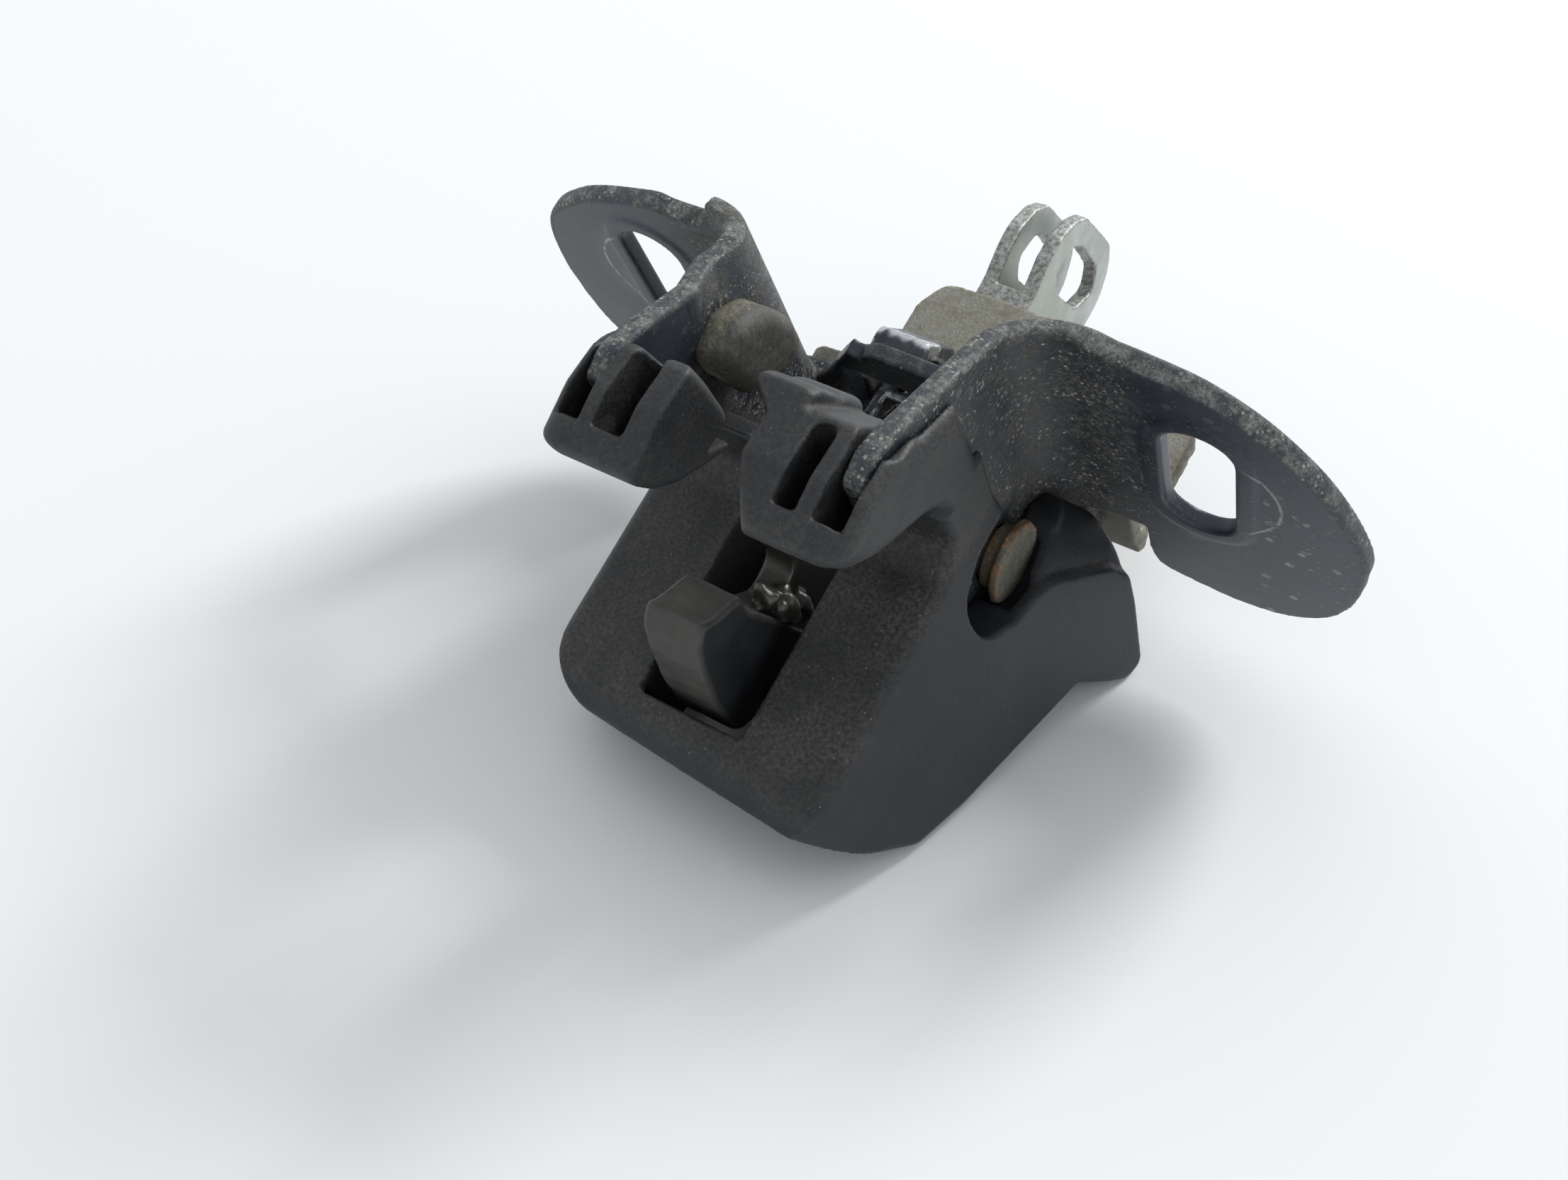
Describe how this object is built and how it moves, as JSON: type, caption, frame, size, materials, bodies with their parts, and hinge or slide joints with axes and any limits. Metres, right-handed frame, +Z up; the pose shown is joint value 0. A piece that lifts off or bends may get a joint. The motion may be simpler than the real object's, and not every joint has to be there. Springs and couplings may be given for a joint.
{
  "type": "boot lock",
  "caption": "Car boot lock on an eared steel bracket: black plastic cover with a striker slot, pivoting claw, pawl, release lever and fork lever, bare and rusty at the back.",
  "frame": {"origin": "on the table, under the middle of the lock's bounding box, with the lock lying on its sloped back", "axes": "+X to the right across the two jaws, +Y away from the jaws, +Z up from the table"},
  "size_m": [0.1112, 0.1306, 0.0568],
  "materials": {
    "frame_paint": "worn satin black paint with dust",
    "grained_plastic": "fine grained black",
    "rusty_steel": "bare steel with brown rust",
    "oiled_steel": "greasy dark steel",
    "claw_plastic": "smooth black",
    "rivet_steel": "dull with orange rust at the rim",
    "bush_steel": "dull",
    "spring_steel": "bright drawn wire",
    "lever_steel": "black with a worn bright edge",
    "zinc": "zinc plated, grainy sheared edges",
    "buffer_rubber": "covered in brown dust"
  },
  "bodies": {
    "frame": {"steel_frame": "frame_paint", "front_cover": "grained_plastic", "back_plate": "rusty_steel", "claw_rivet": "rivet_steel", "pawl_rivet": "rivet_steel", "claw_spacer_left": "bush_steel", "claw_spacer_right": "bush_steel", "pawl_spacer_left": "bush_steel", "pawl_spacer_right": "bush_steel", "claw_spring": "spring_steel", "pawl_spring": "spring_steel", "lever_pin": "rivet_steel", "link_pin": "rivet_steel", "rubber_buffer": "buffer_rubber", "plate_rivet_1": "rivet_steel", "plate_rivet_2": "rivet_steel", "plate_rivet_3": "rivet_steel", "plate_rivet_4": "rivet_steel"},
    "claw": {"claw_core": "oiled_steel", "claw_jacket": "claw_plastic"},
    "pawl": {"pawl": "oiled_steel"},
    "release_lever": {"release_lever": "lever_steel"},
    "clevis_link": {"clevis_link": "zinc"}
  },
  "joints": [
    {"name": "claw_turn", "type": "hinge", "parent": "frame", "child": "claw", "pos_m": [0, -0.02351, 0.02391], "axis": [-1, 0, 0], "range_deg": [0, 22], "stiffness_Nm_per_rad": 0.3},
    {"name": "lever_turn", "type": "hinge", "parent": "frame", "child": "release_lever", "pos_m": [0, 0.00716, 0.02047], "axis": [1, 0, 0], "range_deg": [0, 14], "stiffness_Nm_per_rad": 0.2},
    {"name": "pawl_turn", "type": "hinge", "parent": "frame", "child": "pawl", "pos_m": [0, -0.03912, 0.00736], "axis": [-1, 0, 0], "range_deg": [0, 6.2]},
    {"name": "link_turn", "type": "hinge", "parent": "frame", "child": "clevis_link", "pos_m": [0, 0.0248, 0.01006], "axis": [-1, 0, 0], "range_deg": [0, 7.8]}
  ],
  "couplings": [
    {"joint": "pawl_turn", "follows": "lever_turn", "ratio": 0.43},
    {"joint": "link_turn", "follows": "lever_turn", "ratio": 0.54}
  ]
}
